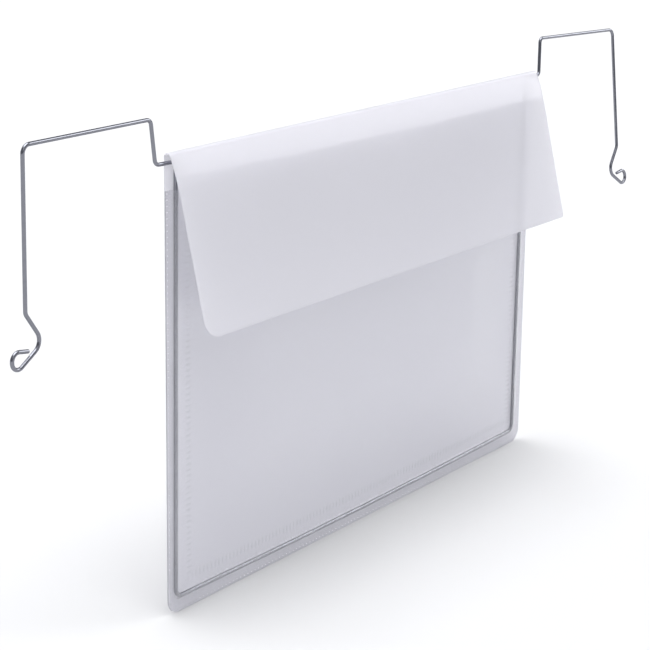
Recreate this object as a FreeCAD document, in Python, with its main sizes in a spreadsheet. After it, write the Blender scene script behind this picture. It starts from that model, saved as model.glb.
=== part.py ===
"""Hanging document pocket: two clear sheets welded round a bent steel wire, with a rain flap.

Millimetres.  X is to the right, Y to the rear, Z up.  X = 0 is the middle of the pocket, Y = 0 the
plane of the wire, and Z = 0 the underside of the hanger's arm, where it rests on a rim or a bar.
The back sheet folds over at the top and comes down in front as the flap.  The front sheet is
welded to it along the two sides and the bottom.
"""

import FreeCAD, Part
import math
import os
import Sketcher
from FreeCAD import Placement, Rotation, Vector

DIMENSIONS = [
    # the two sheets
    ("pocket_width", 337.0),
    ("pocket_height", 233.0),  # from the top of the fold to the bottom edge
    ("sheet_corner", 8.0),
    ("back_thickness", 0.4),
    ("front_thickness", 0.25),
    ("front_drop", 18.5),  # from the top of the fold to the front sheet's top edge
    ("weld_inset", 18.6),  # from the edge to the inner side of the inner weld
    ("pocket_depth", 4.2),  # clear room between the sheets, in the middle
    ("flank", 40.0),  # where the front sheet rises from the weld to its full depth
    # the flap and the fold
    ("fold_radius", 2.0),  # outside of the fold
    ("flap_length", 89.6),  # from the top of the fold, along the flap
    ("flap_angle", 15.0),  # between the flap and the pocket, at rest
    ("flap_left_corner", 9.0),
    ("flap_right_corner", 2.5),
    # the wire in the pocket: how far its axis lies inside the sheet's edges
    ("wire_diameter", 2.0),
    ("wire_clearance", 0.05),
    ("wire_left_top", 6.8),
    ("wire_left_low", 4.8),
    ("wire_right_top", 9.2),
    ("wire_right_low", 10.3),
    ("wire_low", 8.8),
    ("wire_bow", 2.6),  # how far the bottom run's middle point lies below its ends
    ("wire_bow_radius", 8000.0),
    ("wire_corner", 4.5),
    ("channel_foot", 2.6),  # half the width of the raised channel over the wire, at its foot
    ("channel_crown", 0.9),  # and at its crown
    # the hangers: reach beyond the sheet's edge, and drop below the arm's axis
    ("arm_above_fold", 17.2),
    ("stub_inner_drop", 22.2),
    ("stub_outer_drop", 21.9),
    ("stub_reach", 7.7),
    ("step_reach", 10.75),
    ("arm_reach", 93.3),
    ("neck_reach", 94.1),
    ("neck_drop", 74.4),
    ("waist_reach", 83.5),
    ("waist_drop", 89.3),
    ("toe_reach", 102.6),
    ("toe_drop", 101.2),
    ("heel_reach", 103.1),
    ("heel_drop", 89.8),
    ("tip_reach", 92.5),
    ("tip_drop", 91.5),
    ("stub_bend", 3.0),
    ("step_bend", 3.0),
    ("arm_bend", 4.0),
    ("neck_bend", 4.0),
    ("waist_bend", 5.8),
    ("toe_bend", 3.75),
    ("heel_bend", 3.85),
    ("tip_round", 0.7),
    # the right hanger is sprung a little forward and up from the plane of the pocket
    ("right_raise", 1.75),
    ("right_lean", -6.3),
    ("right_tilt", 1.6),
    ("right_yaw", -3.4),
]

OVERLAP = 1.0  # how far a cut runs past the face that it opens
X_AXIS = Vector(1, 0, 0)
Y_AXIS = Vector(0, 1, 0)
Z_AXIS = Vector(0, 0, 1)

# places that several pieces share, as expressions of the sheet's cells
WIRE_RADIUS = "dims.wire_diameter / 2"
FOLD_TOP = f"({WIRE_RADIUS} - dims.arm_above_fold)"
HALF_WIDTH = "dims.pocket_width / 2"
SEAM_Y = f"({WIRE_RADIUS} + dims.wire_clearance)"  # where the two sheets meet
REAR_Y = f"({SEAM_Y} + dims.back_thickness)"
BOTTOM = f"({FOLD_TOP} - dims.pocket_height)"
HINGE_Z = f"({FOLD_TOP} - dims.fold_radius)"
HINGE_Y = f"({REAR_Y} - dims.fold_radius)"
FRONT_TOP = f"({FOLD_TOP} - dims.front_drop)"
INNER_FOLD = "(dims.fold_radius - dims.back_thickness)"

doc = FreeCAD.newDocument("hanging_pocket")
dims = doc.addObject("Spreadsheet::Sheet", "dims")


def fill_sheet():
    """Write every driving dimension, with its alias, into the spreadsheet."""
    for row, (alias, value) in enumerate(DIMENSIONS, start=1):
        dims.set(f"A{row}", alias)
        dims.set(f"B{row}", str(value))
        dims.setAlias(f"B{row}", alias)
    doc.recompute()


def value(expression):
    """The number that an expression of the sheet's cells gives."""
    return float(dims.evalExpression(expression))


def new_sketch(body, name, role, offset):
    """A sketch on one of the body's own origin planes, moved along its normal."""
    sketch = body.newObject("Sketcher::SketchObject", name)
    plane = next(feature for feature in body.Origin.OriginFeatures if feature.Role == role)
    sketch.AttachmentSupport = [(plane, "")]
    sketch.MapMode = "FlatFace"
    sketch.setExpression("AttachmentOffset.Base.z", offset)
    return sketch


def bind(sketch, kind, geometry, point, expression):
    """Hold one coordinate of a point at the value of an expression."""
    constraint = Sketcher.Constraint(kind, geometry, point, value(expression))
    index = sketch.addConstraint(constraint)
    sketch.setExpression(f"Constraints[{index}]", expression)


def rectangle(sketch, left, right, low, high):
    """A closed rectangle with its four sides at the given expressions."""
    x = [value(left), value(right)]
    z = [value(low), value(high)]
    corners = [Vector(x[0], z[0]), Vector(x[1], z[0]), Vector(x[1], z[1]), Vector(x[0], z[1])]
    for index, corner in enumerate(corners):
        sketch.addGeometry(Part.LineSegment(corner, corners[(index + 1) % 4]), False)
    for index in range(4):
        sketch.addConstraint(Sketcher.Constraint("Coincident", index, 2, (index + 1) % 4, 1))
        direction = "Vertical" if index % 2 else "Horizontal"
        sketch.addConstraint(Sketcher.Constraint(direction, index))
    bind(sketch, "DistanceX", 0, 1, left)
    bind(sketch, "DistanceY", 0, 1, low)
    bind(sketch, "DistanceX", 2, 1, right)
    bind(sketch, "DistanceY", 2, 1, high)


def plate(body, name, y_rear, thickness, left, right, low, high):
    """A flat plate in the XZ plane that grows forwards from y_rear."""
    sketch = new_sketch(body, f"{name}_outline", "XZ_Plane", f"-({y_rear})")
    rectangle(sketch, left, right, low, high)
    pad = body.newObject("PartDesign::Pad", f"{name}_pad")
    pad.Profile = sketch
    pad.setExpression("Length", thickness)
    doc.recompute()
    return pad


def round_corner(body, name, feature, x, z, radius):
    """Round the one corner of a plate whose edge runs along Y at x, z."""
    target = Vector(value(x), 0, value(z))
    edges = []
    for index, edge in enumerate(feature.Shape.Edges, start=1):
        middle = edge.CenterOfMass
        along_y = abs(edge.tangentAt(edge.FirstParameter).y) > 0.99
        if along_y and Vector(middle.x, 0, middle.z).isEqual(target, 0.01):
            edges.append(f"Edge{index}")
    fillet = body.newObject("PartDesign::Fillet", name)
    fillet.Base = (feature, edges)
    fillet.setExpression("Radius", radius)
    doc.recompute()
    return fillet


def bent_path(points, radii):
    """Straight runs joined by tangent arcs, with one radius for each inner point."""
    edges = []
    start = points[0]
    for before, corner, after, radius in zip(points, points[1:], points[2:], radii):
        back = (before - corner).normalize()
        ahead = (after - corner).normalize()
        half_angle = back.getAngle(ahead) / 2
        middle = (back + ahead).normalize()
        centre = corner + middle * (radius / math.sin(half_angle))
        reach = radius / math.tan(half_angle)
        first, last = corner + back * reach, corner + ahead * reach
        edges.append(Part.LineSegment(start, first).toShape())
        edges.append(Part.Arc(first, centre - middle * radius, last).toShape())
        start = last
    edges.append(Part.LineSegment(start, points[-1]).toShape())
    return Part.Wire(edges)


def path_object(name, points, radii):
    """A bent path, kept in the document as the spine of a sweep."""
    path = doc.addObject("Part::Feature", name)
    path.Shape = bent_path(points, radii)
    return path


def sweep(name, path, section):
    """A solid that carries a section along a path."""
    solid = doc.addObject("Part::Sweep", name)
    solid.Sections = [section]
    solid.Spine = (path, [f"Edge{index + 1}" for index in range(len(path.Shape.Edges))])
    solid.Solid = True
    doc.recompute()
    return solid


def inset_point(side, inset, z):
    """A point on the wire's plane, inset from the left (-1) or right (1) edge."""
    return Vector(side * (value(HALF_WIDTH) - inset), 0, z)


def pocket_points(top_z):
    """The wire's corners in the pocket, from the left top round to the right top."""
    low_z = value(BOTTOM) + dims.wire_low
    points = [
        inset_point(-1, dims.wire_left_top, top_z),
        inset_point(-1, dims.wire_left_low, low_z),
        Vector(0, 0, low_z - dims.wire_bow),
        inset_point(1, dims.wire_right_low, low_z),
        inset_point(1, dims.wire_right_top, top_z),
    ]
    radii = [dims.wire_corner, dims.wire_bow_radius, dims.wire_corner]
    return points, radii


def hanger_points():
    """One hanger's corners from the stub outwards: reach beyond the edge, and height."""
    axis_z = value(WIRE_RADIUS)
    places = [
        (dims.stub_reach, dims.stub_outer_drop),
        (dims.step_reach, 0.0),
        (dims.arm_reach, 0.0),
        (dims.neck_reach, dims.neck_drop),
        (dims.waist_reach, dims.waist_drop),
        (dims.toe_reach, dims.toe_drop),
        (dims.heel_reach, dims.heel_drop),
        (dims.tip_reach, dims.tip_drop),
    ]
    return [Vector(value(HALF_WIDTH) + reach, 0, axis_z - drop) for reach, drop in places]


def right_hanger(points, stub_z):
    """The hanger on the right: sprung out of the pocket's plane about the end of its stub."""
    pivot = inset_point(1, dims.wire_right_top, stub_z)
    inward = Vector(dims.wire_right_top - dims.wire_left_top, 0, 0)
    lean, tilt = Rotation(X_AXIS, dims.right_lean), Rotation(Y_AXIS, dims.right_tilt)
    turn = Rotation(Z_AXIS, dims.right_yaw) * tilt * lean
    raised = pivot + Z_AXIS * dims.right_raise
    return [raised] + [raised + turn.multVec(point - inward - pivot) for point in points]


def make_wire_frame():
    """One bent steel wire: a hanger at each side, and the pocket's frame between them."""
    stub_z = value(WIRE_RADIUS) - dims.stub_inner_drop
    hanger = hanger_points()
    left = [Vector(-point.x, 0, point.z) for point in reversed(hanger)]
    right = right_hanger(hanger, stub_z)
    pocket, pocket_radii = pocket_points(stub_z)
    points = left + pocket[:-1] + right
    bends = [dims.heel_bend, dims.toe_bend, dims.waist_bend, dims.neck_bend, dims.arm_bend]
    bends += [dims.step_bend, dims.stub_bend, dims.stub_bend]
    radii = bends + pocket_radii + bends[::-1]
    path = path_object("wire_path", points, radii)

    circle = doc.addObject("Part::Circle", "wire_section")
    circle.setExpression("Radius", WIRE_RADIUS)
    circle.Placement = Placement(points[0], Rotation(Z_AXIS, points[1] - points[0]))
    tube = sweep("wire_tube", path, circle)

    wire = doc.addObject("Part::Fillet", "wire_frame")
    wire.Base = tube
    rims = []
    for index, edge in enumerate(tube.Shape.Edges, start=1):
        at_end = min(edge.CenterOfMass.distanceToPoint(end) for end in (points[0], points[-1]))
        if edge.isClosed() and at_end < 0.01:
            rims.append((index, dims.tip_round, dims.tip_round))
    wire.Edges = rims
    return wire


def make_back_sheet():
    """The rear wall, up to where the fold begins."""
    body = doc.addObject("PartDesign::Body", "back_sheet")
    left, right = f"-{HALF_WIDTH}", HALF_WIDTH
    pad = plate(body, "back", REAR_Y, "dims.back_thickness", left, right, BOTTOM, HINGE_Z)
    first = round_corner(body, "back_left_corner", pad, left, BOTTOM, "dims.sheet_corner")
    round_corner(body, "back_right_corner", first, right, BOTTOM, "dims.sheet_corner")
    return body


def frustum(body, kind, name, y_foot, y_crown, top):
    """The pocket's raised middle: three sloping flanks, and straight up at the mouth."""
    sections = []
    levels = [("foot", y_foot, "dims.weld_inset"), ("crown", y_crown, "(dims.weld_inset + dims.flank)")]
    for level, y, inset in levels:
        sketch = new_sketch(body, f"{name}_{level}", "XZ_Plane", f"-({y})")
        side = f"({HALF_WIDTH} - {inset})"
        rectangle(sketch, f"-{side}", side, f"({BOTTOM} + {inset})", top)
        sections.append(sketch)
    loft = body.newObject(kind, name)
    loft.Profile = sections[0]
    loft.Sections = [sections[1]]
    loft.Ruled = True
    doc.recompute()
    return loft


def channel_section(name, top_z, foot, crown, y_foot, y_crown):
    """The channel's section, square to the wire at its left top."""
    wire_x = inset_point(-1, dims.wire_left_top, top_z).x
    corners = [(-foot, y_foot), (-crown, y_crown), (crown, y_crown), (foot, y_foot)]
    points = [Vector(wire_x + x, y, top_z) for x, y in corners]
    section = doc.addObject("Part::Polygon", name)
    section.Nodes = points
    section.Close = True
    return section


def make_front_sheet():
    """The front wall: welded flat at its rim, raised over the wire and in the middle."""
    body = doc.addObject("PartDesign::Body", "front_panel")
    left, right = f"-{HALF_WIDTH}", HALF_WIDTH
    face_y = f"({SEAM_Y} - dims.front_thickness)"
    pad = plate(body, "front", SEAM_Y, "dims.front_thickness", left, right, BOTTOM, FRONT_TOP)
    first = round_corner(body, "front_left_corner", pad, left, BOTTOM, "dims.sheet_corner")
    round_corner(body, "front_right_corner", first, right, BOTTOM, "dims.sheet_corner")
    crown_out = f"({face_y} - dims.pocket_depth)"
    crown_in = f"({SEAM_Y} - dims.pocket_depth)"
    frustum(body, "PartDesign::AdditiveLoft", "belly", face_y, crown_out, FRONT_TOP)
    hollow_top = f"({FRONT_TOP} + {OVERLAP})"
    frustum(body, "PartDesign::SubtractiveLoft", "hollow", SEAM_Y, crown_in, hollow_top)

    seam_y, inner_y = value(SEAM_Y), -value(SEAM_Y)
    top_z = value(FRONT_TOP)
    foot, crown = dims.channel_foot, dims.channel_crown
    ridge_path = path_object("ridge_path", *pocket_points(top_z))
    ridge_section = channel_section(
        "ridge_section", top_z, foot, crown, seam_y, inner_y - dims.front_thickness
    )
    ridge = sweep("ridge", ridge_path, ridge_section)
    channel_path = path_object("channel_path", *pocket_points(top_z + OVERLAP))
    slimmer = dims.front_thickness
    channel_shape = channel_section(
        "channel_section", top_z + OVERLAP, foot - slimmer, crown, seam_y, inner_y
    )
    channel = sweep("channel", channel_path, channel_shape)

    ridged = doc.addObject("Part::Fuse", "front_ridged")
    ridged.Base, ridged.Tool = body, ridge
    front = doc.addObject("Part::Cut", "front_sheet")
    front.Base, front.Tool = ridged, channel
    return front


def make_fold_crease():
    """The living hinge: the strip of sheet that rolls over from the rear wall to the flap."""
    body = doc.addObject("PartDesign::Body", "fold_crease")
    sketch = new_sketch(body, "crease_section", "YZ_Plane", f"-{HALF_WIDTH}")
    centre = Vector(value(HINGE_Y), value(HINGE_Z))
    end_angle = math.pi - math.radians(dims.flap_angle)
    rim, inner = dims.fold_radius, value(INNER_FOLD)
    for radius in (rim, inner):
        circle = Part.Circle(centre, Z_AXIS, radius)
        sketch.addGeometry(Part.ArcOfCircle(circle, 0, end_angle), False)
    for angle in (0, end_angle):
        outwards = Vector(math.cos(angle), math.sin(angle))
        end = Part.LineSegment(centre + outwards * rim, centre + outwards * inner)
        sketch.addGeometry(end, False)
    for join in ((0, 1, 2, 1), (1, 1, 2, 2), (0, 2, 3, 1), (1, 2, 3, 2)):
        sketch.addConstraint(Sketcher.Constraint("Coincident", *join))
    sketch.addConstraint(Sketcher.Constraint("Coincident", 0, 3, 1, 3))
    bind(sketch, "DistanceX", 0, 3, HINGE_Y)
    bind(sketch, "DistanceY", 0, 3, HINGE_Z)
    for geometry, radius in ((0, "dims.fold_radius"), (1, INNER_FOLD)):
        index = sketch.addConstraint(Sketcher.Constraint("Radius", geometry, value(radius)))
        sketch.setExpression(f"Constraints[{index}]", radius)
    pad = body.newObject("PartDesign::Pad", "crease_pad")
    pad.Profile = sketch
    pad.setExpression("Length", "dims.pocket_width")
    return body


def make_rain_flap():
    """The flap, drawn hanging straight down from the hinge and then swung forward to its rest."""
    body = doc.addObject("PartDesign::Body", "rain_flap")
    left, right = f"-{HALF_WIDTH}", HALF_WIDTH
    low = "-(dims.flap_length - dims.fold_radius)"
    pad = plate(body, "flap", f"-{INNER_FOLD}", "dims.back_thickness", left, right, low, "0")
    first = round_corner(body, "flap_left", pad, left, low, "dims.flap_left_corner")
    round_corner(body, "flap_right", first, right, low, "dims.flap_right_corner")
    hinge = Vector(0, value(HINGE_Y), value(HINGE_Z))
    body.Placement = Placement(hinge, Rotation(X_AXIS, -dims.flap_angle))
    return body


def check_document():
    """Stop if any object of the document failed to build."""
    for item in doc.Objects:
        faults = {"Invalid", "Error"} & set(item.State)
        if faults:
            raise RuntimeError(f"{item.Name}: {faults}")


def export(piece):
    """Check one piece's solid and write it under the piece's name."""
    shape = piece.Shape
    if shape.isNull() or not shape.isValid() or len(shape.Solids) != 1:
        raise RuntimeError(f"{piece.Label}: not one valid solid")
    shape.exportStep(f"parts/{piece.Label}.step")
    box = shape.BoundBox
    low, high = (box.XMin, box.YMin, box.ZMin), (box.XMax, box.YMax, box.ZMax)
    spans = ", ".join(f"{a:.2f}..{b:.2f}" for a, b in zip(low, high))
    print(f"{piece.Label}: {shape.Volume:.0f} mm3, {spans}")


fill_sheet()
makers = [make_wire_frame, make_back_sheet, make_front_sheet, make_fold_crease, make_rain_flap]
pieces = [make() for make in makers]
doc.recompute()
check_document()
os.makedirs("parts", exist_ok=True)
for piece in pieces:
    export(piece)
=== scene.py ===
"""Looks of the hanging document pocket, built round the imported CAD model.

Drawn in millimetres in the CAD's own frame and scaled to metres as each mesh is made: X is to the
right, Y to the rear, Z up, with the wire in the plane Y = 0 and the arms' underside at Z = 0.
"""

import math

import bpy
import numpy as np
from mathutils import Matrix, Vector


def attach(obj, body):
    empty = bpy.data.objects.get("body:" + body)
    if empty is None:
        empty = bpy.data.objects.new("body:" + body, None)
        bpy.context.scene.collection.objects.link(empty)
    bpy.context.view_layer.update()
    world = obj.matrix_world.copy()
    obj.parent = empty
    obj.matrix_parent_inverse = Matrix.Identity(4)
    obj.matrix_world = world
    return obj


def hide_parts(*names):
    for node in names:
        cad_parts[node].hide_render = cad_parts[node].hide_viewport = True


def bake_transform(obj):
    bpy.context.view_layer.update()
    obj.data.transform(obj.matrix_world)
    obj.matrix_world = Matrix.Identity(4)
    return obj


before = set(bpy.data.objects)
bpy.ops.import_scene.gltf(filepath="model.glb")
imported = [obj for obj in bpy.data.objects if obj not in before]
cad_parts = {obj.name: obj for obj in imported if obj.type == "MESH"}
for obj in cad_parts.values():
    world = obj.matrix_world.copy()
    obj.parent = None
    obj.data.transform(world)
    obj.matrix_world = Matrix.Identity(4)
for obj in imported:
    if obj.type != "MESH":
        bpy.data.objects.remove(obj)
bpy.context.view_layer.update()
MM = 0.001

# ---------------------------------------------------------------- the CAD's own sizes, millimetres
POCKET_WIDTH = 337.0
POCKET_HEIGHT = 233.0
SHEET_CORNER = 8.0
BACK_THICKNESS = 0.4
FRONT_THICKNESS = 0.25
FRONT_DROP = 18.5
WELD_INSET = 18.6
POCKET_DEPTH = 4.2
FOLD_RADIUS = 2.0
FLAP_LENGTH = 89.6
FLAP_ANGLE = 15.0
FLAP_LEFT_CORNER = 9.0
FLAP_RIGHT_CORNER = 2.5
WIRE_RADIUS = 1.0
WIRE_CLEARANCE = 0.05
WIRE_LEFT_TOP = 6.8
WIRE_LEFT_LOW = 4.8
WIRE_RIGHT_TOP = 9.2
WIRE_RIGHT_LOW = 10.3
WIRE_LOW = 8.8
WIRE_BOW = 2.6
WIRE_BOW_RADIUS = 8000.0
WIRE_CORNER = 4.5
ARM_ABOVE_FOLD = 17.2
STUB_INNER_DROP = 22.2
TIP_ROUND = 0.7
# one hanger's corners: reach beyond the sheet's edge, drop below the arm's axis, bend radius
HANGER = [
    (7.7, 21.9, 3.0),
    (10.75, 0.0, 3.0),
    (93.3, 0.0, 4.0),
    (94.1, 74.4, 4.0),
    (83.5, 89.3, 5.8),
    (102.6, 101.2, 3.75),
    (103.1, 89.8, 3.85),
    (92.5, 91.5, None),
]
STUB_BEND = 3.0
RIGHT_RAISE = 1.75
RIGHT_LEAN = -6.3
RIGHT_TILT = 1.6
RIGHT_YAW = -3.4

HALF = POCKET_WIDTH / 2
FOLD_TOP = WIRE_RADIUS - ARM_ABOVE_FOLD
BOTTOM = FOLD_TOP - POCKET_HEIGHT
SEAM = WIRE_RADIUS + WIRE_CLEARANCE
REAR = SEAM + BACK_THICKNESS
HINGE_Y = REAR - FOLD_RADIUS
HINGE_Z = FOLD_TOP - FOLD_RADIUS
FRONT_TOP = FOLD_TOP - FRONT_DROP
STUB_Z = WIRE_RADIUS - STUB_INNER_DROP
WIRE_BOTTOM = BOTTOM + WIRE_LOW

# ---------------------------------------------------------------- detail that only the looks have
SEAM_GAP = 0.02  # kept between the two sheets, so that no two faces coincide
EDGE_WIDTH = 0.12  # the cut edge is rounded over this width
EDGE_ROUND = 0.07  # and drawn in by this much on each face
RIDGE_CREST = 0.35  # the film lies on the wire this far to each side of its axis
RIDGE_FOOT = 2.0  # and comes down to the seam here
BELLY_RISE = 55.0  # the front reaches its full depth this far inside the weld
KNURL_PITCH = 3.0
DOT_INSET = 1.45  # the outer weld is one row of round pits
DOT_RADIUS = 0.95
RIB_INNER = 18.4  # the inner weld is a band of short grooves
RIB_OUTER = 13.7
RIB_HALF_WIDTH = 0.85
KNURL_DEPTH = 0.13
REAR_KNURL_DEPTH = 0.10
PIT_LINES = (-1.0, -0.55, 0.0, 0.55, 1.0)  # lines across a pit, in shares of its radius
RIDGE_LINES = (0.35, 0.7, 1.0, 1.35, 1.7, 2.0)  # lines over the wire, to each side of its axis
GROOVE_FLATNESS = 0.35  # below 1, a groove keeps its depth nearly to its ends
CORNER_BLOCK = 22.0  # the weld's rows turn the corner inside a square of this side
CORNER_ROWS = 26
ROW_GAP = 0.2  # no row comes nearer than this to the end of its stretch
INNER_CORNER = 2.0  # the lines of the inner weld turn this tightly
PANEL_STEP = 5.5
PANEL_GAP = 2.0  # left between the rim and the panel's grid
FLAP_RIM = 2.0  # the band of faces along the flap's edge is this wide
FLAP_GAP = 6.0  # and its grid ends this far inside the edge
FLAP_COLUMNS = 60
FLAP_LINES = 24
FLAP_BOW = 2.2  # the flap stands out this far at most, just below the fold
FLAP_BOW_RATE = 9.0
FLAP_BOW_FADE = 1.5
FLAP_SIDE_STEPS = 24
FLAP_CORNER_STEPS = 12
FLAP_LOW_STEPS = 60
FOLD_STEPS = 22
FOLD_COLUMNS = 48
TUBE_SIDES = 20
RUN_STEP = 12.0  # between the wire's rings on a straight run
TURN_STEP = 7.5  # and in a bend, in degrees
TIGHT_BEND = 100.0  # a wider bend than this leaves no mark on the wire
WIRE_CORNERS_END = 14.0  # the wire's lower corners lie within this of the sheet's sides
SHEET_CREASE = 50.0  # in degrees: edges sharper than this stay sharp
WIRE_CREASE = 60.0
RIDGE_STRAIN = 0.35  # how far the film whitens over the wire, where 1 is a pit's floor
GROOVE_STRAIN = 0.3

# ---------------------------------------------------------------- studio, metres and degrees
FLOOR_HALF = 9.0
WORLD_COLOUR = (0.90, 0.93, 1.0, 1)
WORLD_LIGHT = 0.34  # the surround's strength as a light
WORLD_SEEN = 1.1  # and as the camera sees it
LAMPS = [  # name, strength, apparent size, direction that the light travels in
    ("overhead", 3.1, 56.0, (0.0, 0.0, -1.0)),
    ("front_right", 1.0, 36.0, (-0.80, 0.42, -0.42)),
    ("front_left", 0.45, 50.0, (0.30, 0.68, -0.68)),
    ("rear", 0.8, 60.0, (-0.10, -0.85, -0.45)),
]
CAMERA_LENS = 108.4
CAMERA_SHIFT = -0.0992
CAMERA_PLACE = (-0.8481, -0.5852, 0.1580)
CAMERA_ANGLES = (75.884, -0.714, -53.853)


# ---------------------------------------------------------------- meshes
def mesh_piece(name, vertices, faces, material, uvs=None):
    """A smooth-shaded mesh object from vertices in millimetres."""
    mesh = bpy.data.meshes.new(name)
    mesh.from_pydata([tuple(MM * float(c) for c in v) for v in vertices], [], faces)
    mesh.polygons.foreach_set("use_smooth", [True] * len(mesh.polygons))
    if uvs is not None:
        layer = mesh.uv_layers.new(name="along")
        layer.data.foreach_set("uv", np.asarray(uvs, float).ravel())
    mesh.materials.append(material)
    mesh.update()
    piece = bpy.data.objects.new(name, mesh)
    bpy.context.scene.collection.objects.link(piece)
    return piece


def mark_points(piece, name, values):
    """Give every point a number that a material can read."""
    attribute = piece.data.attributes.new(name, "FLOAT", "POINT")
    attribute.data.foreach_set("value", np.asarray(values, np.float32))


def boundary_edges(faces):
    """The directed edges that only one face has."""
    seen = {}
    for face in faces:
        for a, b in zip(face, face[1:] + face[:1]):
            seen[(a, b)] = True
    return [edge for edge in seen if (edge[1], edge[0]) not in seen]


def thick_sheet(front, rear, faces):
    """A closed sheet from two surfaces that share their faces; the faces look to the front."""
    count = len(front)
    turned = [tuple(index + count for index in reversed(face)) for face in faces]
    rim = [(b, a, a + count, b + count) for a, b in boundary_edges(faces)]
    return np.vstack([front, rear]), [*faces, *turned, *rim]


def sharpen(piece, degrees):
    """Keep creases sharper than this angle, and smooth the rest."""
    piece.data.set_sharp_from_angle(angle=math.radians(degrees))


# ---------------------------------------------------------------- the wire
def bent_path(points, radii):
    """Stations along straight runs and tangent arcs: place, and 1 in a bend or 0 on a run."""
    stations = [(points[0], 0.0)]

    def add_run(start, end):
        length = (end - start).length
        count = max(1, int(length / RUN_STEP))
        for index in range(1, count + 1):
            stations.append((start.lerp(end, index / count), 0.0))

    start = points[0]
    for before, corner, after, radius in zip(points, points[1:], points[2:], radii):
        back = (before - corner).normalized()
        ahead = (after - corner).normalized()
        half_angle = back.angle(ahead) / 2
        middle = (back + ahead).normalized()
        centre = corner + middle * (radius / math.sin(half_angle))
        reach = radius / math.tan(half_angle)
        first = corner + back * reach
        add_run(start, first)
        turn = math.pi - 2 * half_angle
        axis = back.cross(ahead).normalized()
        count = max(4, math.ceil(turn / math.radians(TURN_STEP)))
        bend = 1.0 if radius < TIGHT_BEND else 0.0
        for index in range(1, count + 1):
            swing = Matrix.Rotation(-turn * index / count, 3, axis)
            stations.append((centre + swing @ (first - centre), bend))
        start = corner + ahead * reach
    add_run(start, points[-1])
    return stations


def pocket_corners(top_z):
    """The wire's corners in the pocket, from the left top round to the right top."""
    return [
        Vector((-(HALF - WIRE_LEFT_TOP), 0, top_z)),
        Vector((-(HALF - WIRE_LEFT_LOW), 0, WIRE_BOTTOM)),
        Vector((0, 0, WIRE_BOTTOM - WIRE_BOW)),
        Vector((HALF - WIRE_RIGHT_LOW, 0, WIRE_BOTTOM)),
        Vector((HALF - WIRE_RIGHT_TOP, 0, top_z)),
    ]


def wire_stations():
    """The whole wire's centre line, from the left curl's tip to the right one's."""
    hanger = [Vector((HALF + reach, 0, WIRE_RADIUS - drop)) for reach, drop, _ in HANGER]
    bends = [bend for _, _, bend in HANGER[:-1]]
    left = [Vector((-p.x, p.y, p.z)) for p in reversed(hanger)]
    pivot = Vector((HALF - WIRE_RIGHT_TOP, 0, STUB_Z))
    inward = Vector((WIRE_RIGHT_TOP - WIRE_LEFT_TOP, 0, 0))
    yaw = Matrix.Rotation(math.radians(RIGHT_YAW), 3, "Z")
    tilt = Matrix.Rotation(math.radians(RIGHT_TILT), 3, "Y")
    lean = Matrix.Rotation(math.radians(RIGHT_LEAN), 3, "X")
    turn = yaw @ tilt @ lean
    raised = pivot + Vector((0, 0, RIGHT_RAISE))
    right = [raised] + [raised + turn @ (p - inward - pivot) for p in hanger]
    points = left + pocket_corners(STUB_Z)[:-1] + right
    radii = bends[::-1] + [STUB_BEND]
    radii += [WIRE_CORNER, WIRE_BOW_RADIUS, WIRE_CORNER]
    radii += [STUB_BEND] + bends
    return bent_path(points, radii)


def tip_rings():
    """How far each ring of a rounded tip lies inside the end, and its radius."""
    rings = []
    for degrees in (90, 65, 40, 15):
        angle = math.radians(degrees)
        inset = TIP_ROUND * (1 - math.sin(angle))
        rings.append((inset, WIRE_RADIUS - TIP_ROUND + TIP_ROUND * math.cos(angle)))
    rings.append((TIP_ROUND, WIRE_RADIUS))
    return rings


def tube_rings(stations):
    """The centre and radius of each ring of the tube, rounded tips included, and its bend mark."""
    places = [place for place, _ in stations]
    first_way = (places[1] - places[0]).normalized()
    last_way = (places[-1] - places[-2]).normalized()
    head = [(places[0] + first_way * inset, radius) for inset, radius in tip_rings()]
    tail = [(places[-1] - last_way * inset, radius) for inset, radius in reversed(tip_rings())]
    body = [(place, WIRE_RADIUS) for place in places[1:-1]]
    marks = [mark for _, mark in stations[1:-1]]
    marks = [0.0] * len(head) + marks + [0.0] * len(tail)
    return head + body + tail, marks


def tube(stations):
    """Vertices, faces, UVs in millimetres and bend marks of a round tube with rounded tips."""
    rings, marks = tube_rings(stations)
    side = (rings[1][0] - rings[0][0]).normalized().orthogonal().normalized()
    vertices, lengths, travelled = [], [], 0.0
    for index, (place, radius) in enumerate(rings):
        before = rings[max(index - 1, 0)][0]
        after = rings[min(index + 1, len(rings) - 1)][0]
        way = (after - before).normalized()
        side = (side - way * side.dot(way)).normalized()
        up = way.cross(side)
        travelled += (place - before).length
        lengths.append(travelled)
        for step in range(TUBE_SIDES):
            angle = 2 * math.pi * step / TUBE_SIDES
            vertices.append(place + (side * math.cos(angle) + up * math.sin(angle)) * radius)
    faces, uvs = [], []
    around = 2 * math.pi * WIRE_RADIUS / TUBE_SIDES
    for ring in range(len(rings) - 1):
        for step in range(TUBE_SIDES):
            ahead = (step + 1) % TUBE_SIDES
            low, high = ring * TUBE_SIDES, (ring + 1) * TUBE_SIDES
            faces.append((low + step, low + ahead, high + ahead, high + step))
            u0, u1 = lengths[ring], lengths[ring + 1]
            v0, v1 = around * step, around * (step + 1)
            uvs += [(u0, v0), (u0, v1), (u1, v1), (u1, v0)]
    faces.append(tuple(reversed(range(TUBE_SIDES))))
    faces.append(tuple(range((len(rings) - 1) * TUBE_SIDES, len(rings) * TUBE_SIDES)))
    uvs += [(0.0, 0.0)] * TUBE_SIDES + [(lengths[-1], 0.0)] * TUBE_SIDES
    return vertices, faces, uvs, np.repeat(marks, TUBE_SIDES)


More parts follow.
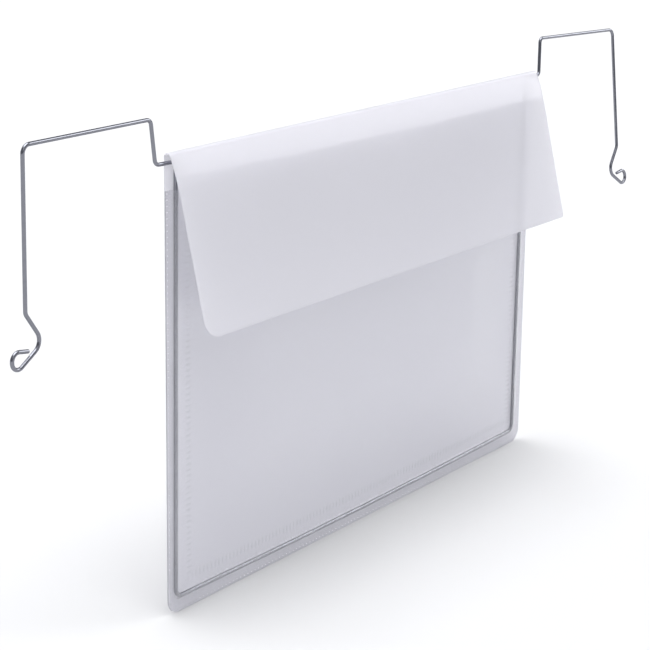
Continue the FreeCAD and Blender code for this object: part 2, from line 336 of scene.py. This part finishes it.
# ---------------------------------------------------------------- the welded rim of a sheet
def wire_inset(side, z):
    """How far the wire's axis lies inside the sheet's left (-1) or right (1) edge at a height."""
    share = (z - STUB_Z) / (WIRE_BOTTOM - STUB_Z)
    top, low = (WIRE_LEFT_TOP, WIRE_LEFT_LOW) if side < 0 else (WIRE_RIGHT_TOP, WIRE_RIGHT_LOW)
    return top + (low - top) * share


def bottom_run():
    """The wire's axis along the bottom, between its two corners, as rows of x and z."""
    stations = bent_path(pocket_corners(STUB_Z), [WIRE_CORNER, WIRE_BOW_RADIUS, WIRE_CORNER])
    low = [p for p, _ in stations if p.z < WIRE_BOTTOM + WIRE_RADIUS / 2]
    return np.array([(p.x, p.z) for p in low if abs(p.x) < HALF - WIRE_CORNERS_END])


BOTTOM_RUN = bottom_run()


def wire_low_z(x):
    """The height of the wire's axis on its bottom run."""
    return float(np.interp(x, BOTTOM_RUN[:, 0], BOTTOM_RUN[:, 1]))


class Level:
    """One line of the rim that follows the sheet's edge or the wire, at a fixed distance."""

    def __init__(self, offset, radius, follows_wire=False):
        self.offset = offset
        self.radius = radius
        self.follows_wire = follows_wire

    def side_x(self, side, z):
        """Where the line crosses a height on the left or right side."""
        inset = self.offset + (wire_inset(side, z) if self.follows_wire else 0.0)
        return side * (HALF - inset)

    def low_z(self, x):
        """The line's height along the bottom."""
        base = wire_low_z(x) if self.follows_wire else BOTTOM
        return base + self.offset

    def corner(self, side, share):
        """A point of the line inside the corner's square, share 0 at its top to 1 at its end."""
        top = np.array([self.side_x(side, BOTTOM + CORNER_BLOCK), BOTTOM + CORNER_BLOCK])
        end_x = side * (HALF - CORNER_BLOCK)
        end = np.array([end_x, self.low_z(end_x)])
        z = end[1]
        bend = np.array([self.side_x(side, z), self.low_z(self.side_x(side, z))])
        down, along = top - bend, end - bend
        tall, wide = np.linalg.norm(down), np.linalg.norm(along)
        down, along = down / tall, along / wide
        radius = self.radius
        runs = [tall - radius, math.pi / 2 * radius, wide - radius]
        travelled = share * sum(runs)
        if travelled <= runs[0]:
            return top - down * travelled
        if travelled >= runs[0] + runs[1]:
            return end - along * (sum(runs) - travelled)
        angle = (travelled - runs[0]) / radius
        centre = bend + (down + along) * radius
        return centre - along * radius * math.cos(angle) - down * radius * math.sin(angle)


def knurl_rows(start, end):
    """Places along a straight stretch that resolve the weld's pattern, ends included."""
    low, high = min(start, end), max(start, end)
    first = math.ceil((low - KNURL_PITCH) / KNURL_PITCH)
    rows = {low, high}
    for index in range(first, int(high / KNURL_PITCH) + 2):
        for share in (-1.0, -0.5, 0.0, 0.5, 1.0):
            place = index * KNURL_PITCH + share * RIB_HALF_WIDTH
            if low + ROW_GAP < place < high - ROW_GAP:
                rows.add(place)
    ordered = sorted(rows)
    return ordered if start < end else ordered[::-1]


def rim_rows(top_z):
    """Every row across the rim: ("side", side, z), ("corner", side, share) or ("low", x)."""
    corner_z = BOTTOM + CORNER_BLOCK
    low_x = HALF - CORNER_BLOCK
    corner_shares = [index / CORNER_ROWS for index in range(1, CORNER_ROWS)]
    left = [("side", -1, z) for z in knurl_rows(top_z, corner_z)]
    left_corner = [("corner", -1, share) for share in corner_shares]
    low = [("low", 0, x) for x in knurl_rows(-low_x, low_x)]
    right_corner = [("corner", 1, share) for share in reversed(corner_shares)]
    right = [("side", 1, z) for z in knurl_rows(corner_z, top_z)]
    return left + left_corner + low + right_corner + right


def rim_point(level, row):
    """The point (x, z) where a level meets a row."""
    kind, side, at = row
    if kind == "side":
        return level.side_x(side, at), at
    if kind == "low":
        return at, level.low_z(at)
    return tuple(level.corner(side, at))


def edge_levels():
    """The sheet's edge, its rounding and the outer weld's pits."""
    levels = [Level(0.0, SHEET_CORNER), Level(EDGE_WIDTH, SHEET_CORNER - EDGE_WIDTH)]
    for share in PIT_LINES:
        inset = DOT_INSET + share * DOT_RADIUS
        levels.append(Level(inset, SHEET_CORNER - inset))
    return levels


def channel_levels():
    """Lines over the wire, from one foot of its ridge to the other."""
    shifts = [-shift for shift in reversed(RIDGE_LINES)] + [0.0] + list(RIDGE_LINES)
    return [Level(shift, WIRE_CORNER - shift, True) for shift in shifts]


def inner_levels():
    """The inner weld's grooves and the line where the pocket's panel begins."""
    insets = (RIB_OUTER, RIB_OUTER + 0.5, 15.0, 16.2, 17.2, RIB_INNER - 0.4, RIB_INNER, WELD_INSET)
    return [Level(inset, INNER_CORNER) for inset in insets]


def ease(share):
    """A share that starts and ends gently, held between 0 and 1."""
    share = min(max(share, 0.0), 1.0)
    return share * share * (3 - 2 * share)


def bump(distance, radius):
    """1 at the middle and 0 from the radius outwards, smoothly."""
    share = np.clip(np.abs(distance) / radius, 0, 1)
    return (1 - share * share) ** 2


def knurl(x, z, inset):
    """How deep the weld's tool has pressed at a point, from 0 to 1."""
    along = z if inset_is_side(x, z) else x
    phase = along - KNURL_PITCH * np.round(along / KNURL_PITCH)
    across = inset - DOT_INSET
    pit = bump(math.hypot(phase, across), DOT_RADIUS)
    middle = (RIB_INNER + RIB_OUTER) / 2
    half_width = (RIB_INNER - RIB_OUTER) / 2
    groove = bump(phase, RIB_HALF_WIDTH) * bump(inset - middle, half_width) ** GROOVE_FLATNESS
    return float(max(pit, groove))


def inset_is_side(x, z):
    """True where the nearest edge is the left or the right one."""
    return HALF - abs(x) < z - BOTTOM


def edge_inset(x, z):
    """The distance to the nearest of the left, right and bottom edges."""
    return min(HALF - abs(x), z - BOTTOM)


def ridge(level):
    """How far the film stands off the seam over the wire, in shares of the wire's rise."""
    if not level.follows_wire:
        return 0.0
    return 1 - ease((abs(level.offset) - RIDGE_CREST) / (RIDGE_FOOT - RIDGE_CREST))


def belly(x, z):
    """How far the pocket's front stands out, as a share of its depth."""
    rise = 1.0
    for distance in (HALF - WELD_INSET - abs(x), z - BOTTOM - WELD_INSET):
        rise *= ease(distance / BELLY_RISE)
    return rise


def zip_rows(first, second, first_share, second_share):
    """Triangles between two lines of vertices that run side by side."""
    triangles = []
    i = j = 0
    while i < len(first) - 1 or j < len(second) - 1:
        step_first = j == len(second) - 1 or (
            i < len(first) - 1 and first_share[i + 1] <= second_share[j + 1]
        )
        if step_first:
            triangles.append((first[i], first[i + 1], second[j]))
            i += 1
        else:
            triangles.append((first[i], second[j + 1], second[j]))
            j += 1
    return triangles


def shares(points):
    """How far along a line each of its points is, from 0 to 1."""
    steps = np.linalg.norm(np.diff(np.asarray(points), axis=0), axis=1)
    travelled = np.concatenate([[0], np.cumsum(steps)])
    return travelled / travelled[-1]


def quads(start, wide, tall, turned=False):
    """Faces between rows of vertices numbered on from start; turned, they look the other way."""
    faces = []
    for row in range(tall - 1):
        for column in range(wide - 1):
            a = start + row * wide + column
            b, c, d = a + 1, a + 1 + wide, a + wide
            faces.append((a, d, c, b) if turned else (a, b, c, d))
    return faces


def fill_panel(points, rim_count, columns, lines):
    """Fill the rim that the last points go round with a grid: add its points, return faces."""
    start = len(points)
    rim = list(range(start - rim_count, start))
    for line in lines:
        for column in columns:
            points.append((float(column), float(line)))
    wide, tall = len(columns), len(lines)
    ring = [start + row * wide for row in range(tall)]
    ring += [start + (tall - 1) * wide + column for column in range(1, wide)]
    ring += [start + row * wide + wide - 1 for row in reversed(range(tall - 1))]
    rim_shares = shares([points[index] for index in rim])
    ring_shares = shares([points[index] for index in ring])
    return quads(start, wide, tall, turned=True) + zip_rows(rim, ring, rim_shares, ring_shares)


def sheet_plan(levels, top_z):
    """The flat plan of a sheet: points (x, z), each point's level or None, and the faces."""
    rows = rim_rows(top_z)
    points, owners = [], []
    for level in levels:
        for row in rows:
            points.append(rim_point(level, row))
            owners.append(level)
    faces = quads(0, len(rows), len(levels))
    side = HALF - WELD_INSET - PANEL_GAP
    low = BOTTOM + WELD_INSET + PANEL_GAP
    columns = np.linspace(-side, side, int(2 * side / PANEL_STEP))
    lines = np.linspace(top_z, low, int((top_z - low) / PANEL_STEP))
    faces += fill_panel(points, len(rows), columns, lines)
    owners += [None] * (len(points) - len(owners))
    return points, owners, faces


def rounded_edge(level):
    """How far each face of the sheet draws in at its cut edge."""
    if level is None or level.follows_wire or level.offset > 0.0:
        return 0.0
    return EDGE_ROUND


def make_front_sheet(material):
    """The clear front: welded rim, a ridge over the wire and a bellied middle."""
    levels = edge_levels() + channel_levels() + inner_levels()
    points, owners, faces = sheet_plan(levels, FRONT_TOP)
    front, rear, strain = [], [], []
    for (x, z), level in zip(points, owners):
        over_wire = ridge(level) if level is not None else 0.0
        stand = over_wire * 2 * SEAM + belly(x, z) * POCKET_DEPTH
        inner_y = SEAM - SEAM_GAP - stand
        outer_y = inner_y - (FRONT_THICKNESS - SEAM_GAP)
        pressed = knurl(x, z, edge_inset(x, z)) if stand == 0.0 else 0.0
        outer_y += KNURL_DEPTH * pressed
        in_pit = edge_inset(x, z) < DOT_INSET + DOT_RADIUS
        weld_strain = pressed if in_pit else GROOVE_STRAIN * pressed
        strain.append(max(RIDGE_STRAIN * over_wire, weld_strain))
        draw = rounded_edge(level)
        front.append((x, outer_y + draw, z))
        rear.append((x, inner_y - draw, z))
    vertices, closed = thick_sheet(np.array(front), np.array(rear), faces)
    piece = mesh_piece("pocket_front", vertices, closed, material)
    mark_points(piece, "strain", strain + strain)
    sharpen(piece, SHEET_CREASE)
    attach(piece, "pocket")
    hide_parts("front_sheet")
    return piece


def plain_levels():
    """Lines over the back sheet's plain band between the two welds."""
    return [Level(3.2, SHEET_CORNER - 3.2), Level(8.0, INNER_CORNER), Level(11.5, INNER_CORNER)]


def make_back_sheet(material):
    """The frosted rear wall, with the weld's marks pressed into its rear face."""
    levels = edge_levels() + plain_levels() + inner_levels()
    points, owners, faces = sheet_plan(levels, HINGE_Z)
    front, rear = [], []
    for (x, z), level in zip(points, owners):
        pressed = 0.0
        if z < FRONT_TOP:
            pressed = REAR_KNURL_DEPTH * knurl(x, z, edge_inset(x, z))
        draw = rounded_edge(level)
        front.append((x, SEAM + draw, z))
        rear.append((x, REAR - pressed - draw, z))
    vertices, closed = thick_sheet(np.array(front), np.array(rear), faces)
    piece = mesh_piece("pocket_back", vertices, closed, material)
    sharpen(piece, SHEET_CREASE)
    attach(piece, "pocket")
    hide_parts("back_sheet")
    return piece


# ---------------------------------------------------------------- the flap and its fold
def flap_outline(inset):
    """The flap's sides and lower edge, in the hinge's frame: (x, distance below the hinge)."""
    length = FLAP_LENGTH - FOLD_RADIUS
    left, right = -HALF + inset, HALF - inset
    low = length - inset
    points = []
    for index in range(FLAP_SIDE_STEPS):
        points.append((left, (low - FLAP_LEFT_CORNER) * index / FLAP_SIDE_STEPS))
    corner_angles = [math.pi / 2 * i / FLAP_CORNER_STEPS for i in range(FLAP_CORNER_STEPS + 1)]
    radius = FLAP_LEFT_CORNER - inset
    for angle in corner_angles:
        x = left + radius * (1 - math.cos(angle))
        points.append((x, low - radius * (1 - math.sin(angle))))
    start_x, end_x = left + radius, right - (FLAP_RIGHT_CORNER - inset)
    for index in range(1, FLAP_LOW_STEPS):
        points.append((start_x + (end_x - start_x) * index / FLAP_LOW_STEPS, low))
    radius = FLAP_RIGHT_CORNER - inset
    for angle in corner_angles:
        x = right - radius * (1 - math.sin(angle))
        points.append((x, low - radius * (1 - math.cos(angle))))
    for index in reversed(range(FLAP_SIDE_STEPS)):
        points.append((right, (low - FLAP_RIGHT_CORNER) * index / FLAP_SIDE_STEPS))
    return points


def flap_place(x, down, y_local):
    """From the hanging hinge frame to the flap's rest, swung forward by its angle."""
    angle = math.radians(FLAP_ANGLE)
    y = HINGE_Y + y_local * math.cos(angle) - down * math.sin(angle)
    z = HINGE_Z - y_local * math.sin(angle) - down * math.cos(angle)
    return x, y, z


def make_flap(material):
    """The rain flap: a thin panel with one rounder corner, slightly bowed below the fold."""
    outer_y = -FOLD_RADIUS
    inner_y = -(FOLD_RADIUS - BACK_THICKNESS)
    length = FLAP_LENGTH - FOLD_RADIUS
    outlines = [flap_outline(inset) for inset in (0.0, EDGE_WIDTH, FLAP_RIM)]
    points = [point for outline in outlines for point in outline]
    count = len(outlines[0])
    faces = quads(0, count, len(outlines))
    columns = np.linspace(-HALF + FLAP_GAP, HALF - FLAP_GAP, FLAP_COLUMNS)
    lines = np.linspace(0.0, length - FLAP_GAP, FLAP_LINES)
    faces += fill_panel(points, count, columns, lines)
    front, rear = [], []
    for index, (x, down) in enumerate(points):
        draw = EDGE_ROUND if index < count else 0.0
        bow = flap_bow(down / length)
        front.append(flap_place(x, down, outer_y + draw - bow))
        rear.append(flap_place(x, down, inner_y - draw - bow))
    vertices, closed = thick_sheet(np.array(front), np.array(rear), faces)
    piece = mesh_piece("flap_panel", vertices, closed, material)
    sharpen(piece, SHEET_CREASE)
    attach(piece, "flap")
    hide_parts("rain_flap")
    return piece


def flap_bow(share):
    """The flap stands out a little just below the fold and runs out straight to its edge."""
    share = min(max(share, 0.0), 1.0)
    return FLAP_BOW * (1 - math.exp(-FLAP_BOW_RATE * share)) * (1 - share) ** FLAP_BOW_FADE


def make_fold(material):
    """The living hinge: the sheet rolls over from the rear wall to the flap."""
    end_angle = 180.0 - FLAP_ANGLE
    xs = np.linspace(-HALF, HALF, FOLD_COLUMNS)
    front, rear = [], []
    for index in range(FOLD_STEPS + 1):
        angle = math.radians(end_angle * index / FOLD_STEPS)
        for x in xs:
            draw = EDGE_ROUND if abs(x) == HALF else 0.0
            for surface, radius in (
                (front, FOLD_RADIUS - draw),
                (rear, FOLD_RADIUS - BACK_THICKNESS + draw),
            ):
                y = HINGE_Y + radius * math.cos(angle)
                z = HINGE_Z + radius * math.sin(angle)
                surface.append((x, y, z))
    faces = quads(0, FOLD_COLUMNS, FOLD_STEPS + 1, turned=True)
    vertices, closed = thick_sheet(np.array(front), np.array(rear), faces)
    piece = mesh_piece("fold_strip", vertices, closed, material)
    sharpen(piece, SHEET_CREASE)
    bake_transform(piece)
    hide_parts("fold_crease")
    return piece


def make_wire(material):
    """The bent steel wire with both hangers."""
    vertices, faces, uvs, bends = tube(wire_stations())
    piece = mesh_piece("wire", vertices, faces, material, uvs)
    mark_points(piece, "bend", bends)
    sharpen(piece, WIRE_CREASE)
    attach(piece, "pocket")
    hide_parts("wire_frame")
    return piece


# ---------------------------------------------------------------- materials
class Nodes:
    """A material's node tree, with short ways to add and join nodes."""

    def __init__(self, name):
        self.material = bpy.data.materials.new(name)
        self.material.use_nodes = True
        self.tree = self.material.node_tree
        self.shader = next(n for n in self.tree.nodes if n.type == "BSDF_PRINCIPLED")

    def add(self, kind, **inputs):
        """A new node with the given inputs, each a value or another node's output."""
        node = self.tree.nodes.new(kind)
        for key, value in inputs.items():
            self.feed(node.inputs[key.replace("_", " ")], value)
        return node

    def feed(self, socket, value):
        """Set a socket, or link it if the value is an output."""
        if isinstance(value, bpy.types.NodeSocket):
            self.tree.links.new(value, socket)
        else:
            socket.default_value = value

    def set(self, **inputs):
        """Set or link the shader's own inputs."""
        for key, value in inputs.items():
            self.feed(self.shader.inputs[key.replace("_", " ")], value)

    def stretch(self, vector, scale):
        """Coordinates scaled along each axis."""
        return self.add("ShaderNodeMapping", Vector=vector, Scale=scale).outputs[0]

    def noise(self, vector, scale, detail=2.0, roughness=0.5):
        """Fractal noise from 0 to 1."""
        node = self.add("ShaderNodeTexNoise", Vector=vector, Scale=scale, Detail=detail)
        self.feed(node.inputs["Roughness"], roughness)
        return node.outputs[0]

    def remap(self, value, low, high):
        """A 0 to 1 value over a new range."""
        return self.add("ShaderNodeMapRange", Value=value, To_Min=low, To_Max=high).outputs[0]

    def spread(self, noise, low, high):
        """Noise, which keeps mostly to its middle half, spread over a new range."""
        node = self.add("ShaderNodeMapRange", Value=noise, To_Min=low, To_Max=high)
        self.feed(node.inputs["From Min"], 0.25)
        self.feed(node.inputs["From Max"], 0.75)
        return node.outputs[0]

    def mark(self, name):
        """The number that each point carries under this name."""
        node = self.add("ShaderNodeAttribute")
        node.attribute_name = name
        return node.outputs["Fac"]

    def between(self, share, first, second):
        """A colour between two, by a share."""
        node = self.add("ShaderNodeMix")
        node.data_type = "RGBA"
        for key, value in (("Factor", share), ("A", first), ("B", second)):
            self.feed(node.inputs[key], value)
        return node.outputs["Result"]

    def raised(self, value, mark, amount):
        """A value raised by an amount where a point's mark is 1."""
        node = self.add("ShaderNodeMath")
        node.operation = "MULTIPLY_ADD"
        for socket, term in zip(node.inputs, (mark, amount, value)):
            self.feed(socket, term)
        return node.outputs[0]

    def bump(self, height, strength, distance):
        """A normal from a height."""
        node = self.add("ShaderNodeBump", Height=height, Strength=strength, Distance=distance)
        return node.outputs[0]

    def glow_through(self, share, colour):
        """Let a share of the light from behind come through the surface, spread out."""
        spread_light = self.add("ShaderNodeBsdfTranslucent", Color=colour)
        mix = self.tree.nodes.new("ShaderNodeMixShader")
        mix.inputs[0].default_value = share
        output = next(n for n in self.tree.nodes if n.type == "OUTPUT_MATERIAL")
        self.tree.links.new(self.shader.outputs[0], mix.inputs[1])
        self.tree.links.new(spread_light.outputs[0], mix.inputs[2])
        self.tree.links.new(mix.outputs[0], output.inputs["Surface"])


def object_coordinates(nodes):
    """Places on the piece itself, in metres."""
    return nodes.add("ShaderNodeTexCoord").outputs["Object"]


def frosted_film():
    """Frosted polypropylene: milky, fine matte grain, hazes what lies behind it."""
    nodes = Nodes("frosted_film")
    where = object_coordinates(nodes)
    cloud = nodes.noise(where, scale=9.0, detail=3.0)
    grain = nodes.noise(where, scale=2600.0, detail=1.0)
    flow = nodes.noise(nodes.stretch(where, (2.0, 30.0, 60.0)), scale=6.0, detail=3.0)
    colour = nodes.between(cloud, (0.905, 0.90, 0.94, 1), (0.93, 0.925, 0.96, 1))
    nodes.set(Base_Color=colour, Roughness=nodes.spread(flow, low=0.05, high=0.09))
    nodes.set(IOR=1.3, Transmission_Weight=0.48)
    nodes.set(Normal=nodes.bump(grain, strength=0.15, distance=0.00003))
    nodes.glow_through(0.27, (0.95, 0.945, 0.965, 1))
    return nodes.material


def clear_film():
    """Clear glossy film, a little wavy, whitened where it is stretched or pressed."""
    nodes = Nodes("clear_film")
    where = object_coordinates(nodes)
    cloud = nodes.noise(where, scale=7.0, detail=3.0)
    wave = nodes.noise(nodes.stretch(where, (1.0, 1.0, 2.2)), scale=14.0, detail=2.0)
    colour = nodes.between(cloud, (0.95, 0.95, 0.975, 1), (0.965, 0.965, 0.985, 1))
    strain = nodes.mark("strain")
    rough = nodes.raised(nodes.spread(cloud, low=0.06, high=0.10), strain, 0.3)
    clearness = nodes.remap(strain, 0.93, 0.66)
    nodes.set(Base_Color=colour, Roughness=rough, IOR=1.27, Transmission_Weight=clearness)
    nodes.set(Normal=nodes.bump(wave, strength=0.12, distance=0.0006))
    return nodes.material


def zinc_wire():
    """Bright drawn steel wire: fine lengthwise streaks, a little duller in the bends."""
    nodes = Nodes("zinc_wire")
    along = nodes.add("ShaderNodeUVMap")
    along.uv_map = "along"
    lengthwise = nodes.stretch(along.outputs[0], (0.05, 3.0, 1.0))
    streaks = nodes.noise(lengthwise, scale=2.0, detail=4.0, roughness=0.6)
    mottle = nodes.noise(nodes.stretch(along.outputs[0], (0.4, 0.6, 1.0)), scale=0.8, detail=3.0)
    colour = nodes.between(mottle, (0.20, 0.205, 0.235, 1), (0.26, 0.265, 0.295, 1))
    rough = nodes.raised(nodes.spread(streaks, low=0.10, high=0.17), nodes.mark("bend"), 0.06)
    nodes.set(Base_Color=colour, Metallic=1.0, Roughness=rough)
    nodes.set(Normal=nodes.bump(streaks, strength=0.25, distance=0.00004))
    return nodes.material


# ---------------------------------------------------------------- studio
def make_floor():
    """A plain pale floor under the pocket's lower edge."""
    signs = [(-1, -1), (1, -1), (1, 1), (-1, 1)]
    corners = [(FLOOR_HALF * x, FLOOR_HALF * y, MM * BOTTOM) for x, y in signs]
    mesh = bpy.data.meshes.new("floor")
    mesh.from_pydata(corners, [], [(0, 1, 2, 3)])
    nodes = Nodes("floor_paint")
    cloud = nodes.noise(object_coordinates(nodes), scale=3.0)
    tone = nodes.between(cloud, (0.64, 0.64, 0.645, 1), (0.65, 0.65, 0.655, 1))
    nodes.set(Base_Color=tone, Roughness=0.9, Specular_IOR_Level=0.0)
    mesh.materials.append(nodes.material)
    floor = bpy.data.objects.new("floor", mesh)
    bpy.context.scene.collection.objects.link(floor)


def make_surround():
    """A pale, even surround: a weak light from everywhere, and a bright background when seen."""
    world = bpy.data.worlds.new("studio")
    world.use_nodes = True
    tree = world.node_tree
    background = tree.nodes["Background"]
    background.inputs["Color"].default_value = WORLD_COLOUR
    seen = tree.nodes.new("ShaderNodeLightPath").outputs["Is Camera Ray"]
    level = tree.nodes.new("ShaderNodeMapRange")
    level.inputs["To Min"].default_value = WORLD_LIGHT
    level.inputs["To Max"].default_value = WORLD_SEEN
    tree.links.new(seen, level.inputs["Value"])
    tree.links.new(level.outputs[0], background.inputs["Strength"])
    bpy.context.scene.world = world


def make_lamps():
    """Four very broad, soft lights: one from above, two from the front and one from the rear."""
    for name, strength, size, way in LAMPS:
        lamp = bpy.data.lights.new(name, "SUN")
        lamp.energy = strength
        lamp.angle = math.radians(size)
        sun = bpy.data.objects.new(name, lamp)
        sun.rotation_euler = Vector(way).to_track_quat("-Z", "Y").to_euler()
        bpy.context.scene.collection.objects.link(sun)


def make_camera():
    """The camera, in front of the pocket's left side and a little above it."""
    camera = bpy.data.cameras.new("camera")
    camera.sensor_width = 36.0
    camera.lens = CAMERA_LENS
    camera.shift_y = CAMERA_SHIFT
    camera.clip_start = 0.01
    camera.clip_end = 60.0
    viewer = bpy.data.objects.new("camera", camera)
    viewer.location = CAMERA_PLACE
    viewer.rotation_euler = [math.radians(angle) for angle in CAMERA_ANGLES]
    bpy.context.scene.collection.objects.link(viewer)
    bpy.context.scene.camera = viewer


def set_view():
    """Show the colours as they are, with no tone curve."""
    view = bpy.context.scene.view_settings
    view.view_transform = "Standard"
    view.look = "None"
    view.exposure = 0.0


make_camera()
make_floor()
make_surround()
make_lamps()
set_view()
frosted = frosted_film()
clear = clear_film()
make_wire(zinc_wire())
make_front_sheet(clear)
make_back_sheet(frosted)
make_flap(frosted)
make_fold(frosted)
